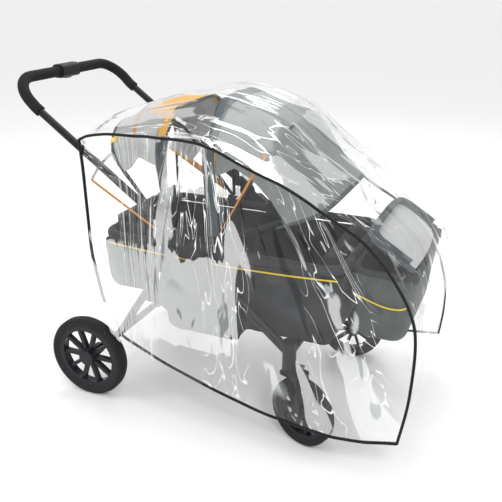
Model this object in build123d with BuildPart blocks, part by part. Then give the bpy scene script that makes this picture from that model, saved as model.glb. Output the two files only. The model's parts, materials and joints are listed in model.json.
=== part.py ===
from build123d import *
import os
from math import atan2, cos, degrees, hypot, radians, sin

# A two-seat stroller wagon with two hoods, a front basket and a fitted rain cover.
# Millimetres. Origin on the ground under the middle of the rear axle, +X forward, +Z up.
# Every left piece lies at +Y and every right piece at -Y.

# ---- driving dimensions -------------------------------------------------------------
fit = 0.05                 # radial clearance of a shaft in its bore
seat_gap = 0.3             # clearance between seated pieces

rear_wheel_radius = 146.0
rear_wheel_width = 50.0
rear_track = 648.0         # between the middles of the rear wheels
front_wheel_radius = 114.0
front_wheel_width = 46.0
wheelbase = 729.5          # rear axle to the caster swivel axes
caster_spacing = 546.8     # between the two swivel axes
caster_trail = 60.0
caster_toe = 20.0          # how far each parked caster points outwards, degrees
axle_diameter = 12.0
spoke_count = 10

hub_x = 352.0              # the folding hub, where handle, leg and beam meet
hub_z = 630.0
side_plane = 275.0         # middle of the side tubes, from the centre line
handle_tube = 25.0
leg_tube = 26.0
beam_tube = 32.0
tube_wall = 1.6
lug_thickness = 11.5
hub_pin = 12.0

handle_rise = 36.0         # slope of the handle tubes, degrees
handle_straight = 603.0    # hub to the start of the grip
grip_diameter = 36.0

rim_height = 580.0         # middle of the rim tube of the tub
rim_half_width = 238.0
rim_rear = 48.0
rim_front = 872.0
rim_tube = 22.0
rim_pad = 36.0
rim_corner = 60.0

fabric = 3.0               # wall of the sewn soft goods
tub_half_width = 236.0
tub_rear = 44.0
tub_front = 876.0
rear_seat_z = 400.0        # outside of the tub under the rear seat
footwell_z = 280.0
front_seat_z = 332.0
footwell_rear = 280.0
footwell_front = 540.0

basket_rear = 893.3
basket_front = 1085.0
basket_half_width = 196.0
basket_floor = 345.0
basket_rim_z = 578.0
basket_tube = 14.0

bow_tube = 12.0
hood_x = 465.0             # pivot of the main hood
hood_z = 612.0
rear_hood_x = 300.0        # pivot of the rear hood
bow_step = 14.0            # each bow nests this far inside the one before
outer_bow = 251.0          # half width of the outermost bows
hood_half_width = 258.8
hood_cloth = 1.0
cloth_over_bow = 7.5       # middle of a bow to the inside of the cloth

film = 0.5                 # the rain cover's clear sheet
binding = 7.0


# ---- helpers --------------------------------------------------------------------------
def keep(shape, name):
    """Label a finished piece and write its STEP file."""
    shape.label = name
    export_step(shape, f"parts/{name}.step")


def tube_along(points, bend, outer, wall=None):
    """A bent tube, or a bar when no wall is given, along runs joined by arcs."""
    with BuildPart() as tube:
        with BuildLine() as path:
            if len(points) > 2:
                FilletPolyline(*points, radius=bend)
            else:
                Line(*points)
        start = path.line
        with BuildSketch(Plane(origin=start @ 0, z_dir=start % 0)):
            Circle(outer / 2)
            if wall:
                Circle(outer / 2 - wall, mode=Mode.SUBTRACT)
        sweep()
    return tube.part


def ahead(x, z, angle, distance):
    """The point that lies a distance from (x, z), at an angle above +X."""
    return x + distance * cos(radians(angle)), z + distance * sin(radians(angle))


def ring(radius_out, radius_in, y0, y1, x=0.0, z=0.0):
    """A ring about the Y direction, between two Y values."""
    with BuildPart() as made:
        with BuildSketch(Plane(origin=(x, y0, z), x_dir=(1, 0, 0), z_dir=(0, 1, 0))):
            Circle(radius_out)
            if radius_in:
                Circle(radius_in, mode=Mode.SUBTRACT)
        extrude(amount=y1 - y0)
    return made.part


def slab(outline, half_width):
    """A solid with a side outline of (x, z) points, the same to both sides of the middle."""
    with BuildPart() as made:
        with BuildSketch(Plane.XZ):
            with BuildLine():
                Polyline(*outline, close=True)
            make_face()
        extrude(amount=half_width, both=True)
    return made.part


def side_plate(outline, y0, y1):
    """A plate with a side outline of (x, z) points, between two Y values."""
    with BuildPart() as made:
        with BuildSketch(Plane(origin=(0, y1, 0), x_dir=(1, 0, 0), z_dir=(0, -1, 0))):
            with BuildLine():
                Polyline(*outline, close=True)
            make_face()
        extrude(amount=y1 - y0)
    return made.part


def capsule(x0, z0, x1, z1, width, y0, y1):
    """A flat link with round ends from one (x, z) point to another."""
    length = hypot(x1 - x0, z1 - z0)
    tilt = degrees(atan2(z1 - z0, x1 - x0))
    with BuildPart() as made:
        with BuildSketch(Plane(origin=(0, y1, 0), x_dir=(1, 0, 0), z_dir=(0, -1, 0))):
            with Locations(((x0 + x1) / 2, (z0 + z1) / 2)):
                SlotCenterToCenter(length, width, rotation=tilt)
        extrude(amount=y1 - y0)
    return made.part


def drilled(shape, radius, x, z):
    """The shape with a hole right through it along Y."""
    with BuildPart() as made:
        add(shape)
        with Locations(Plane(origin=(x, 0, z), z_dir=(0, 1, 0))):
            Cylinder(radius, 2000, mode=Mode.SUBTRACT)
    return made.part


def joined(*shapes):
    """Several touching or overlapping shapes made one."""
    with BuildPart() as made:
        for shape in shapes:
            add(shape)
    return made.part


def less(shape, *others):
    """The largest solid that is left of a shape when others are cut from it."""
    with BuildPart() as made:
        add(shape)
        for other in others:
            add(other, mode=Mode.SUBTRACT)
    return max(made.part.solids(), key=lambda one: one.volume)


def mirrored(shape):
    """The same piece on the other side of the object."""
    with BuildPart() as made:
        add(shape)
        mirror(about=Plane.XZ, mode=Mode.REPLACE)
    return made.part


def grouped(*shapes):
    """Separate solids that share one node."""
    return Compound(children=[one for shape in shapes for one in shape.solids()])


def post(x, y, z0, z1, radius):
    """An upright cylinder between two heights."""
    with BuildPart() as made:
        with Locations((x, y, z0)):
            Cylinder(radius, z1 - z0, align=(Align.CENTER, Align.CENTER, Align.MIN))
    return made.part


def block(x0, x1, y0, y1, z0, z1, edge=0.0):
    """A box between two corners, with its upright edges rounded."""
    with BuildPart() as made:
        with Locations(((x0 + x1) / 2, (y0 + y1) / 2, (z0 + z1) / 2)):
            Box(x1 - x0, y1 - y0, z1 - z0)
        if edge:
            fillet(made.edges().filter_by(Axis.Z), edge)
    return made.part


os.makedirs("parts", exist_ok=True)


# ---- wheels -----------------------------------------------------------------------------
def turned(outline):
    """A solid turned about the Y axis from (radius, y) points."""
    with BuildPart() as made:
        with BuildSketch(Plane.XY):
            with BuildLine():
                Polyline(*outline, close=True)
            make_face()
        revolve(axis=Axis.Y, revolution_arc=360)
    return made.part


def wheel(radius, width, name, place, cap_side, sealed):
    """A tyre on a spoked rim about the Y axis; a sealed hub has ball bearings and a cap."""
    tread = radius * 0.2
    bead = radius - tread
    hub_radius = radius * 0.2
    shaft = axle_diameter / 2 + fit
    bore = hub_radius * 0.62 if sealed else shaft
    half = width / 2
    race = half * 0.5
    shoulder = tread * 0.45
    tyre = turned([
        (bead, -half * 0.62), (radius - shoulder, -half), (radius - shoulder * 0.35, -half * 0.86),
        (radius, -half * 0.45), (radius, half * 0.45), (radius - shoulder * 0.35, half * 0.86),
        (radius - shoulder, half), (bead, half * 0.62),
    ])
    rim_in = bead * 0.86
    hub_face = half * 0.8
    with BuildPart() as rim:
        add(turned([(rim_in, -half * 0.6), (bead, -half * 0.62), (bead, half * 0.62),
                    (rim_in, half * 0.6)]))
        add(ring(hub_radius, bore, -hub_face, hub_face))
        with BuildSketch(Plane(origin=(0, -half * 0.36, 0), x_dir=(1, 0, 0), z_dir=(0, 1, 0))):
            with PolarLocations((rim_in + hub_radius) / 2, spoke_count):
                Rectangle(rim_in - hub_radius + 4, radius * 0.085)
        extrude(amount=half * 0.72)
    pieces = {"tyre": tyre, "rim": rim.part}
    if sealed:
        cap_faces = sorted((cap_side * hub_face, cap_side * (hub_face + 5)))
        pieces["hub_cap"] = ring(hub_radius * 0.95, 0, *cap_faces)
        pieces["bearings"] = grouped(ring(bore, shaft, -hub_face, -hub_face + race),
                                     ring(bore, shaft, hub_face - race, hub_face))
    for word, piece in pieces.items():
        keep(piece.moved(place), f"{name}_{word}")


for side, word in ((-1, "right"), (1, "left")):
    rear_place = Location((0, side * rear_track / 2, rear_wheel_radius))
    front_place = Location((wheelbase, side * caster_spacing / 2, 0), (0, 0, side * caster_toe))
    front_place = front_place * Location((caster_trail, 0, front_wheel_radius))
    wheel(rear_wheel_radius, rear_wheel_width, f"rear_{word}", rear_place, side, True)
    wheel(front_wheel_radius, front_wheel_width, f"front_{word}", front_place, side,
          False)


# ---- rear legs, axle and brake -------------------------------------------------------------
lug_in = (side_plane - 0.25 - lug_thickness, side_plane - 0.25)
lug_out = (side_plane + 0.25, side_plane + 0.25 + lug_thickness)
lug_reach = 50.0
lug_width = 34.0
axle_boss = 20.0
cross_x, cross_z = 108.0, 241.0

leg_angle = degrees(atan2(-120.0, -47.0))
leg_top = ahead(hub_x, hub_z, leg_angle, lug_reach - 8)
leg_low = (14.0, rear_wheel_radius + 12.0)
leg_path = [(leg_top[0], -side_plane, leg_top[1]), (168, -side_plane, 335),
            (cross_x - 4, -side_plane, cross_z - 4), (leg_low[0], -side_plane, leg_low[1])]
leg_right = joined(
    tube_along(leg_path, 45, leg_tube),
    capsule(hub_x, hub_z, *ahead(hub_x, hub_z, leg_angle, lug_reach), lug_width,
            -lug_in[1], -lug_in[0]),
    ring(axle_boss, 0, -side_plane - 13, -side_plane + 13, 0, rear_wheel_radius),
)
leg_right = drilled(leg_right, axle_diameter / 2, 0, rear_wheel_radius)
leg_right = drilled(leg_right, hub_pin / 2 + fit, hub_x, hub_z)
keep(leg_right, "rear_leg_right")
keep(mirrored(leg_right), "rear_leg_left")

axle_half = rear_track / 2 + rear_wheel_width * 0.4 - seat_gap
keep(ring(axle_diameter / 2, 0, -axle_half, axle_half, 0, rear_wheel_radius), "rear_axle")

brace = ring(leg_tube / 2 - 1, leg_tube / 2 - 1 - tube_wall, -side_plane, side_plane,
             cross_x, cross_z)
keep(less(brace, leg_right, mirrored(leg_right)), "rear_cross_tube")

pedal_half = 36.0
pedal_reach = 62.0
pedal = joined(
    ring(leg_tube / 2 + 5, 0, -pedal_half, pedal_half, cross_x, cross_z),
    capsule(cross_x, cross_z, cross_x - pedal_reach, cross_z + 8, 12, -pedal_half, pedal_half),
)
keep(drilled(pedal, leg_tube / 2 - 1 + fit, cross_x, cross_z), "brake_pedal")


# ---- folding hubs and front beams --------------------------------------------------------
plate_in = side_plane - lug_thickness - 7.2
plate_out = side_plane - lug_thickness - 1.9
beam_plane = side_plane - 1.5
beam_angle = degrees(atan2(-90.0, 108.0))
housing_block = capsule(*ahead(hub_x, hub_z, beam_angle, 52), *ahead(hub_x, hub_z, beam_angle, 84),
                        42, -beam_plane - 13, -plate_in)
housing_right = joined(
    less(housing_block, ring(33, 0, -side_plane - 30, -plate_out, hub_x, hub_z)),
    ring(30, 0, -plate_out, -plate_in, hub_x, hub_z),
    capsule(hub_x, hub_z, hub_x + 6, rim_height, 44, -plate_out, -plate_in),
    capsule(hub_x, hub_z, *ahead(hub_x, hub_z, beam_angle, 60), 40, -plate_out, -plate_in),
)
housing_right = drilled(housing_right, hub_pin / 2, hub_x, hub_z)

socket_radius = 22.0
stem_top = 320.0
socket_low, socket_high = 247.0, 342.0
lock_half = 8.0
lock_knuckle = 3.5
lock_pin = 1.8
lock_ear = 3.0
stem_radius = 10.0
caster_y = caster_spacing / 2
lock_x = wheelbase + socket_radius + seat_gap + lock_knuckle
lock_z = socket_low + 12.5
ears = [block(wheelbase + socket_radius - 6, lock_x + lock_knuckle, y0, y0 + lock_ear,
              lock_z - lock_knuckle, lock_z + lock_knuckle)
        for y0 in (-caster_y - lock_half - seat_gap - lock_ear, -caster_y + lock_half + seat_gap)]
caster_socket = less(joined(post(wheelbase, -caster_y, socket_low, socket_high, socket_radius), *ears),
                     post(wheelbase, -caster_y, socket_low - 1, stem_top + 1, stem_radius + fit),
                     ring(lock_pin + fit, 0, -caster_y - 20, -caster_y + 20, lock_x, lock_z))
beam_start = ahead(hub_x, hub_z, beam_angle, 72)
beam_path = [(beam_start[0], -beam_plane, beam_start[1]), (460, -beam_plane, 540),
             (607, -beam_plane, 405), (wheelbase, -beam_plane, 300)]
beam_right = less(tube_along(beam_path, 120, beam_tube), housing_right,
                  post(wheelbase, -caster_y, 200, 400, socket_radius))
for shape, name in ((housing_right, "hub_housing"), (beam_right, "front_beam"),
                    (caster_socket, "caster_socket")):
    keep(shape, f"{name}_right")
    keep(mirrored(shape), f"{name}_left")

sockets = [post(wheelbase, side * caster_y, 200, 400, socket_radius) for side in (-1, 1)]
keep(less(ring(12, 12 - tube_wall, -caster_y, caster_y, wheelbase, 294), *sockets),
     "front_cross_tube")

pin_high = side_plane + lug_thickness + 4.5
pin_right = joined(ring(hub_pin / 2, 0, -pin_high + 3, -plate_in, hub_x, hub_z),
                   ring(14, 0, -pin_high, -pin_high + 3, hub_x, hub_z))
keep(grouped(pin_right, mirrored(pin_right)), "hub_pins")


# ---- casters ------------------------------------------------------------------------------
crown_z = 233.0
arm_in = front_wheel_width / 2 + 3.0
arm_out = arm_in + 6.0
with BuildPart() as crown:
    with BuildSketch(Plane.XY.offset(crown_z)):
        with Locations((22, 0)):
            RectangleRounded(76, 2 * arm_out, 9)
    extrude(amount=9)
fork = joined(
    crown.part,
    post(0, 0, crown_z, socket_low - seat_gap, socket_radius),
    post(0, 0, crown_z, stem_top, stem_radius),
    *(capsule(38, crown_z - 10, caster_trail, front_wheel_radius, 32, y0, y0 + 6)
      for y0 in (-arm_out, arm_in)),
)
fork = drilled(fork, axle_diameter / 2, caster_trail, front_wheel_radius)
front_axle = ring(axle_diameter / 2, 0, -arm_out, arm_out, caster_trail, front_wheel_radius)
for side, word in ((-1, "right"), (1, "left")):
    place = Location((wheelbase, side * caster_y, 0), (0, 0, side * caster_toe))
    keep(fork.moved(place), f"caster_fork_{word}")
    keep(front_axle.moved(place), f"front_axle_{word}")

lock_reach = 24.0
lock_end = lock_half + seat_gap + lock_ear
swivel_lock = joined(
    block(lock_x, lock_x + lock_reach, -caster_y - lock_half, -caster_y + lock_half,
          lock_z - lock_knuckle, lock_z + lock_knuckle),
    ring(lock_knuckle, 0, -caster_y - lock_half, -caster_y + lock_half, lock_x, lock_z),
    ring(lock_pin, 0, -caster_y - lock_end, -caster_y + lock_end, lock_x, lock_z),
)
keep(swivel_lock, "swivel_lock_right")
keep(mirrored(swivel_lock), "swivel_lock_left")


# ---- handle -------------------------------------------------------------------------------
handle_angle = 180.0 - handle_rise
eye_x, eye_z = ahead(hub_x, hub_z, handle_angle, lug_reach - 8)
knee_x, knee_z = ahead(hub_x, hub_z, handle_angle, handle_straight + 24)
bar_x, bar_z = ahead(knee_x, knee_z, handle_angle - 9, 112)
handle_bend = 88.0
loop = [(knee_x, -side_plane, knee_z), (bar_x, -side_plane, bar_z),
        (bar_x, side_plane, bar_z), (knee_x, side_plane, knee_z)]
handle_path = [(eye_x, -side_plane, eye_z), *loop, (eye_x, side_plane, eye_z)]
eye_right = capsule(hub_x, hub_z, *ahead(hub_x, hub_z, handle_angle, lug_reach), lug_width,
                    -lug_out[1], -lug_out[0])
handle_frame = joined(tube_along(handle_path, handle_bend, handle_tube), eye_right,
                      mirrored(eye_right))
keep(drilled(handle_frame, hub_pin / 2 + fit, hub_x, hub_z), "handle_tube")

grip_x, grip_z = ahead(hub_x, hub_z, handle_angle, handle_straight)
grip_path = [(grip_x, -side_plane, grip_z), *loop, (grip_x, side_plane, grip_z)]
block_half = 46.0
block_size = 50.0
with BuildPart() as grip_block:
    with BuildSketch(Plane(origin=(bar_x, -block_half, bar_z), x_dir=(1, 0, 0), z_dir=(0, 1, 0))):
        RectangleRounded(block_size, block_size - 4, 16)
        Circle(handle_tube / 2, mode=Mode.SUBTRACT)
    extrude(amount=2 * block_half)
button_long, button_wide, button_high = 36.0, 20.0, 5.0
button_travel = 2.5
button_set = 1.0
button_z = bar_z - (block_size - 4) / 2
with BuildPart() as pocket:
    with BuildSketch(Plane.XY.offset(button_z - 1)):
        with Locations((bar_x, 0)):
            SlotOverall(button_long + 2 * seat_gap, button_wide + 2 * seat_gap, rotation=90)
    extrude(amount=1 + button_set + button_travel + seat_gap)
keep(less(grip_block.part, pocket.part), "grip_block")
grip_whole = tube_along(grip_path, handle_bend, grip_diameter)
half_space = block(bar_x - 400, knee_x + 400, -400, -block_half, 500, 1400)
with BuildPart() as grip:
    add(grip_whole)
    add(half_space, mode=Mode.INTERSECT)
    add(tube_along(handle_path, handle_bend, handle_tube), mode=Mode.SUBTRACT)
keep(grouped(grip.part, mirrored(grip.part)), "handle_grips")

with BuildPart() as grip_button:
    with BuildSketch(Plane.XY.offset(button_z + button_set - button_high)):
        with Locations((bar_x, 0)):
            SlotOverall(button_long, button_wide, rotation=90)
    extrude(amount=button_high)
    fillet(grip_button.faces().sort_by(Axis.Z)[0].edges(), 1.5)
keep(grip_button.part, "grip_button")


# ---- tub ------------------------------------------------------------------------------------
def rim_ring(x0, x1, half_width, corner, z, outer, inner=0.0):
    """A closed ring of round tube that lies flat, with rounded corners."""
    with BuildPart() as made:
        with BuildLine(Plane.XY.offset(z)) as path:
            FilletPolyline((x0, -half_width), (x1, -half_width), (x1, half_width),
                           (x0, half_width), radius=corner, close=True)
        wire = Wire(path.edges())
        with BuildSketch(Plane(origin=wire @ 0, z_dir=wire % 0)):
            Circle(outer / 2)
            if inner:
                Circle(inner / 2, mode=Mode.SUBTRACT)
        sweep(path=wire)
    return made.part


keep(rim_ring(rim_rear, rim_front, rim_half_width, rim_corner, rim_height, rim_tube,
              rim_tube - 2 * tube_wall), "rim_tube")
keep(rim_ring(rim_rear, rim_front, rim_half_width, rim_corner, rim_height, rim_pad, rim_tube),
     "rim_padding")

tub_top = rim_height - rim_pad / 2 - seat_gap
tub_outline = [(tub_rear, tub_top), (tub_rear + 18, rear_seat_z), (footwell_rear - 8, rear_seat_z),
               (footwell_rear, footwell_z), (footwell_front, footwell_z),
               (footwell_front + 8, front_seat_z), (tub_front - 22, front_seat_z),
               (tub_front, tub_top)]


def shrunk(outline, wall):
    """The outline of the space inside a tub or basket: walls left all round, the top open."""
    inside = []
    for number, (x, z) in enumerate(outline):
        rear = number < len(outline) / 2
        top = number in (0, len(outline) - 1)
        inside.append((x + (wall if rear else -wall), z + (50 if top else wall)))
    return inside


tub_inside = shrunk(tub_outline, fabric)
tub_inside[2] = (footwell_rear - 8 + fabric, rear_seat_z + fabric)
tub = less(slab(tub_outline, tub_half_width), slab(tub_inside, tub_half_width - fabric))
keep(tub, "tub_fabric")

piping_drop = 9.0
piping_y = tub_half_width + 2.5 + seat_gap
piping = tube_along([(tub_rear + 30, -piping_y, tub_top - piping_drop),
                     (tub_front - 30, -piping_y, tub_top - piping_drop)], 0, 5)
keep(grouped(piping, mirrored(piping)), "tub_piping")

board = 6.0
floor_board = block(footwell_rear + fabric + seat_gap, footwell_front - fabric - 8,
                    -tub_half_width + fabric + seat_gap, tub_half_width - fabric - seat_gap,
                    footwell_z + fabric, footwell_z + fabric + board, 12)
keep(floor_board, "floor_board")

cushion = 34.0
cushion_half = tub_half_width - 18
rear_cushion_z = rear_seat_z + fabric
front_cushion_z = front_seat_z + fabric
keep(block(100, footwell_rear - 14, -cushion_half, cushion_half, rear_cushion_z,
           rear_cushion_z + cushion, 25), "rear_seat_cushion")
keep(block(footwell_front + 14, 786, -cushion_half, cushion_half, front_cushion_z,
           front_cushion_z + cushion, 25), "front_seat_cushion")

back_half = 196.0
front_back_top = 612.0
rear_back = [(70, rear_cushion_z + 1), (94, rear_cushion_z + 1), (96, 640), (70, 640)]
front_back = [(792, front_cushion_z + 0.5), (818, front_cushion_z + 0.5), (833.6, front_back_top),
              (804.5, front_back_top)]
keep(slab(rear_back, back_half), "rear_backrest")
keep(slab(front_back, back_half), "front_backrest")

strap = 2.0
strap_wide = 38.0
strap_y = 70.0
with BuildPart() as harness:
    for y in (-strap_y, strap_y):
        add(block(96.3 + seat_gap, 96.3 + seat_gap + strap, y - strap_wide / 2,
                  y + strap_wide / 2, rear_cushion_z + cushion + 1, 620))
rear_straps = harness.part
front_face = [(791.3, front_cushion_z + cushion + 2), (793.3, front_cushion_z + cushion + 2),
              (803.6, front_back_top - 12),
              (801.6, front_back_top - 12)]
front_straps = [side_plate(front_face, y - strap_wide / 2, y + strap_wide / 2)
                for y in (-strap_y, strap_y)]
buckle = 46.0
keep(grouped(rear_straps, *front_straps,
             block(150, 150 + buckle, -buckle / 2, buckle / 2, rear_cushion_z + cushion,
                   rear_cushion_z + cushion + 14, 8),
             block(700, 700 + buckle, -buckle / 2, buckle / 2, front_cushion_z + cushion,
                   front_cushion_z + cushion + 14, 8)), "harnesses")


# ---- front basket ----------------------------------------------------------------------------
basket_top = basket_rim_z - basket_tube / 2 - seat_gap
basket_outline = [(basket_rear, basket_top), (basket_rear + 10, basket_floor),
                  (basket_front - 26, basket_floor), (basket_front, basket_top)]
basket = less(slab(basket_outline, basket_half_width),
              slab(shrunk(basket_outline, fabric), basket_half_width - fabric))
keep(basket, "basket_fabric")
keep(rim_ring(basket_rear + 4, basket_front - 6, basket_half_width - 4, 40, basket_rim_z,
              basket_tube, basket_tube - 2 * tube_wall), "basket_rim")


# ---- hoods -----------------------------------------------------------------------------------
def bow(pivot_x, pivot_z, angle, leg, crown, half_width):
    """A bent hood bow in a tilted plane through its pivot line, with flat eyes at its ends."""
    def at(distance, y):
        x, z = ahead(pivot_x, pivot_z, angle, distance)
        return (x, y, z)

    points = [at(0, -half_width), at(leg, -half_width), at(crown, -half_width * 0.55),
              at(crown, half_width * 0.55), at(leg, half_width), at(0, half_width)]
    return tube_along(points, 60, bow_tube)


bow_pin = 4.0
hood_bows = {
    "hood_rear_bow": (hood_x, hood_z, 94.0, 292.0, 424.0, outer_bow),
    "hood_middle_bow": (hood_x, hood_z, 61.0, 322.0, 412.0, outer_bow - bow_step),
    "hood_visor_bow": (hood_x, hood_z, 25.0, 350.0, 366.0, outer_bow - 2 * bow_step),
    "rear_hood_post": (rear_hood_x, hood_z, 92.0, 292.0, 392.0, outer_bow),
    "rear_hood_bow": (rear_hood_x, hood_z, 129.0, 318.0, 400.0, outer_bow - bow_step),
}
for name, shape in hood_bows.items():
    keep(drilled(bow(*shape), bow_pin + fit, shape[0], shape[1]), name)

saddle_in = outer_bow - 2 * bow_step - bow_tube / 2 - 4.0
saddle_low = rim_height + rim_pad / 2 + seat_gap
saddle_high = hood_z - bow_tube / 2 - 0.6
saddles = []
for x in (hood_x, rear_hood_x):
    saddle = joined(
        block(x - 12, x + 12, -outer_bow - 5, -saddle_in, saddle_low, saddle_high),
        block(x - 8, x + 8, -saddle_in - 3.5, -saddle_in, saddle_low, hood_z + 7),
        ring(bow_pin, 0, -outer_bow - bow_tube / 2, -saddle_in, x, hood_z),
    )
    saddles += [saddle, mirrored(saddle)]
keep(grouped(*saddles), "hood_pivots")


def stretched(points, extra):
    """The same run of points with both end runs made longer."""
    longer = list(points)
    for end, beside in ((0, 1), (-1, -2)):
        (x0, z0), (x1, z1) = points[end], points[beside]
        share = extra / hypot(x0 - x1, z0 - z1)
        longer[end] = (x0 + (x0 - x1) * share, z0 + (z0 - z1) * share)
    return longer


def hood_shell(pivot_x, pivot_z, tips, half_width):
    """A cloth shell over the bows: a tapered roof and two side fans, open at both ends."""
    def solid(inset, extra):
        rim = [ahead(pivot_x, pivot_z, angle, leg - inset) for angle, leg, top in tips]
        crown = [ahead(pivot_x, pivot_z, angle, top - inset) for angle, leg, top in tips]
        rim, crown = stretched(rim, extra), stretched(crown, extra)
        foot = (pivot_x, pivot_z + 12 - extra)
        inner, outer = half_width * 0.6, half_width - inset
        with BuildPart() as shoulder:
            for y, outline in ((inner, crown), (outer, rim)):
                with BuildSketch(Plane(origin=(0, -y, 0), x_dir=(1, 0, 0), z_dir=(0, -1, 0))):
                    with BuildLine():
                        Polyline(foot, *outline, close=True)
                    make_face()
            loft(ruled=True)
        return joined(slab([foot, *crown], inner), shoulder.part, mirrored(shoulder.part))

    return less(solid(0, 0), solid(hood_cloth, 40))


over = cloth_over_bow + hood_cloth
main_tips = [(93.5, 292.0 + over + 6, 424.0 + over), (61.0, 322.0 + over + 6, 412.0 + over),
             (22.0, 350.0 + over + 8, 366.0 + over + 4)]
rear_tips = [(127.0, 318.0 + over, 400.0 + over), (109.0, 316.0 + over, 405.0 + over),
             (91.0, 292.0 + over + 2, 392.0 + over)]
keep(hood_shell(hood_x, hood_z, main_tips, hood_half_width), "main_hood_fabric")
keep(hood_shell(rear_hood_x, hood_z, rear_tips, hood_half_width), "rear_hood_fabric")


# ---- hood of the front basket, folded down --------------------------------------------------
fold_x, fold_z = basket_front - 6.0, basket_rim_z + 18.0
fold_angle = 148.0
fold_leg = 172.0
fold_half = basket_half_width - 6.0
keep(drilled(bow(fold_x, fold_z, fold_angle, fold_leg, fold_leg + 6, fold_half), bow_pin + fit,
             fold_x, fold_z), "basket_hood_bow")
ear_in = basket_half_width - 4 + basket_tube / 2 + seat_gap
ear_out = ear_in + 2.5
ear = joined(ring(9, 0, -ear_out, -ear_in, fold_x, fold_z),
             block(fold_x - 50, fold_x + 9, -ear_out, -ear_in, basket_rim_z - 6, fold_z),
             ring(bow_pin, 0, -ear_out, -fold_half + 6, fold_x, fold_z))
keep(grouped(ear, mirrored(ear)), "basket_hood_pivots")
bundle_half = fold_half - 10.0
bundle = [ahead(fold_x, fold_z, fold_angle + turn, reach)
          for turn, reach in ((12, 20), (28, 130), (22, 160), (3, 178), (-12, 172), (-28, 60))]
keep(less(slab(bundle, bundle_half), bow(fold_x, fold_z, fold_angle, fold_leg, fold_leg + 6,
                                         fold_half)), "basket_hood_fabric")


# ---- rain cover --------------------------------------------------------------------------------
# Two long profiles shape it: the crown along the middle and the seam along each side.
cover_crown = [(-4, 946), (65, 979), (265, 1034), (447, 1056), (640, 1004), (770, 909),
               (870, 844), (985, 769), (1092, 660), (1128, 520), (1122, 329), (1100, 130)]
cover_seam = [(-4, 892), (65, 915), (265, 922), (430, 917), (600, 855), (700, 815), (815, 742),
              (945, 650), (1040, 560), (1126, 400), (1112, 250), (1096, 130)]
cover_hem = [(890, 100), (672, 107), (500, 134), (300, 178), (112, 240)]
cover_open = [(60, 340), (22, 510), (5, 660), (-10, 830)]
cover_plan = [(-20, 296.5), (150, 297.5), (352, 316), (893, 368), (1000, 368), (1140, 352)]
crown_half = 190.0
seam_reach = 330.0


def cover_solid(inset):
    """The space under the cover, or the same space drawn in by the film's thickness."""
    open_by = 60.0 if inset else 0.0
    crown, shoulder = [], []
    last = len(cover_crown) - 1
    for number, (top, seam) in enumerate(zip(cover_crown, cover_seam)):
        front = number > last - 4
        dx = -inset if front else 0.0
        dz = 0.0 if front else -inset
        if number == 0:
            dx = -open_by
        if number == last:
            dz = -open_by
        grow = (420.0 - crown_half) / (seam_reach - crown_half)
        crown.append((top[0] + dx, top[1] + dz))
        shoulder.append((top[0] + (seam[0] - top[0]) * grow + dx,
                         top[1] + (seam[1] - top[1]) * grow + dz))
    hem = [(x, z - open_by) for x, z in cover_hem]
    rear = [(x - open_by, z - open_by * 0.4) for x, z in cover_open]
    tail = hem + rear
    with BuildPart() as flank:
        for y, outline in ((crown_half, crown), (420.0, shoulder)):
            with BuildSketch(Plane(origin=(0, -y, 0), x_dir=(1, 0, 0), z_dir=(0, -1, 0))):
                with BuildLine():
                    Polyline(*outline, *tail, close=True)
                make_face()
        loft(ruled=True)
    whole = joined(slab(crown + tail, crown_half), flank.part, mirrored(flank.part))
    half = [(x, y - inset) for x, y in cover_plan]
    half[0] = (half[0][0] - open_by, half[0][1])
    with BuildPart() as made:
        add(whole)
        with BuildSketch(Plane.XY):
            with BuildLine():
                Polyline(*half, *[(x, -y) for x, y in reversed(half)], close=True)
            make_face()
        extrude(amount=1200, mode=Mode.INTERSECT)
    return made.part


keep(less(cover_solid(0), cover_solid(film)), "rain_cover")


def cover_width(x):
    """Half the cover's width at a distance along it."""
    for (x0, y0), (x1, y1) in zip(cover_plan, cover_plan[1:]):
        if x <= x1:
            return y0 + (y1 - y0) * (x - x0) / (x1 - x0)
    return cover_plan[-1][1]


def binding_run(points, bend):
    """The sewn edging along a run of (x, z) points on the right side of the cover."""
    out = binding / 2 + 0.8
    path = [(x, -cover_width(x) - out, z) for x, z in points]
    return tube_along(path, bend, binding)


hem_run = binding_run([(1090, 134), (1000, 112), *cover_hem[:4], (118, 242)], 30)
rear_run = binding_run([(62, 350), (24, 510), (8, 660), (-2, 880)], 40)
keep(grouped(hem_run, rear_run, mirrored(hem_run), mirrored(rear_run)), "cover_binding")
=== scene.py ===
# %% [markdown]
# # A stroller wagon under a clear rain cover
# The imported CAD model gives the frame: tubes, hubs, axles and every place. This script adds what
# CAD can't say: sewn cloth, padded rims, tread, webbing, wrinkled film and the finish of each part.
# Everything is in metres, +X forward, +Z up, with the origin on the ground under the rear axle.

# %% Load the frame
import json
from math import atan2, cos, degrees, hypot, pi, radians, sin

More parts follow.
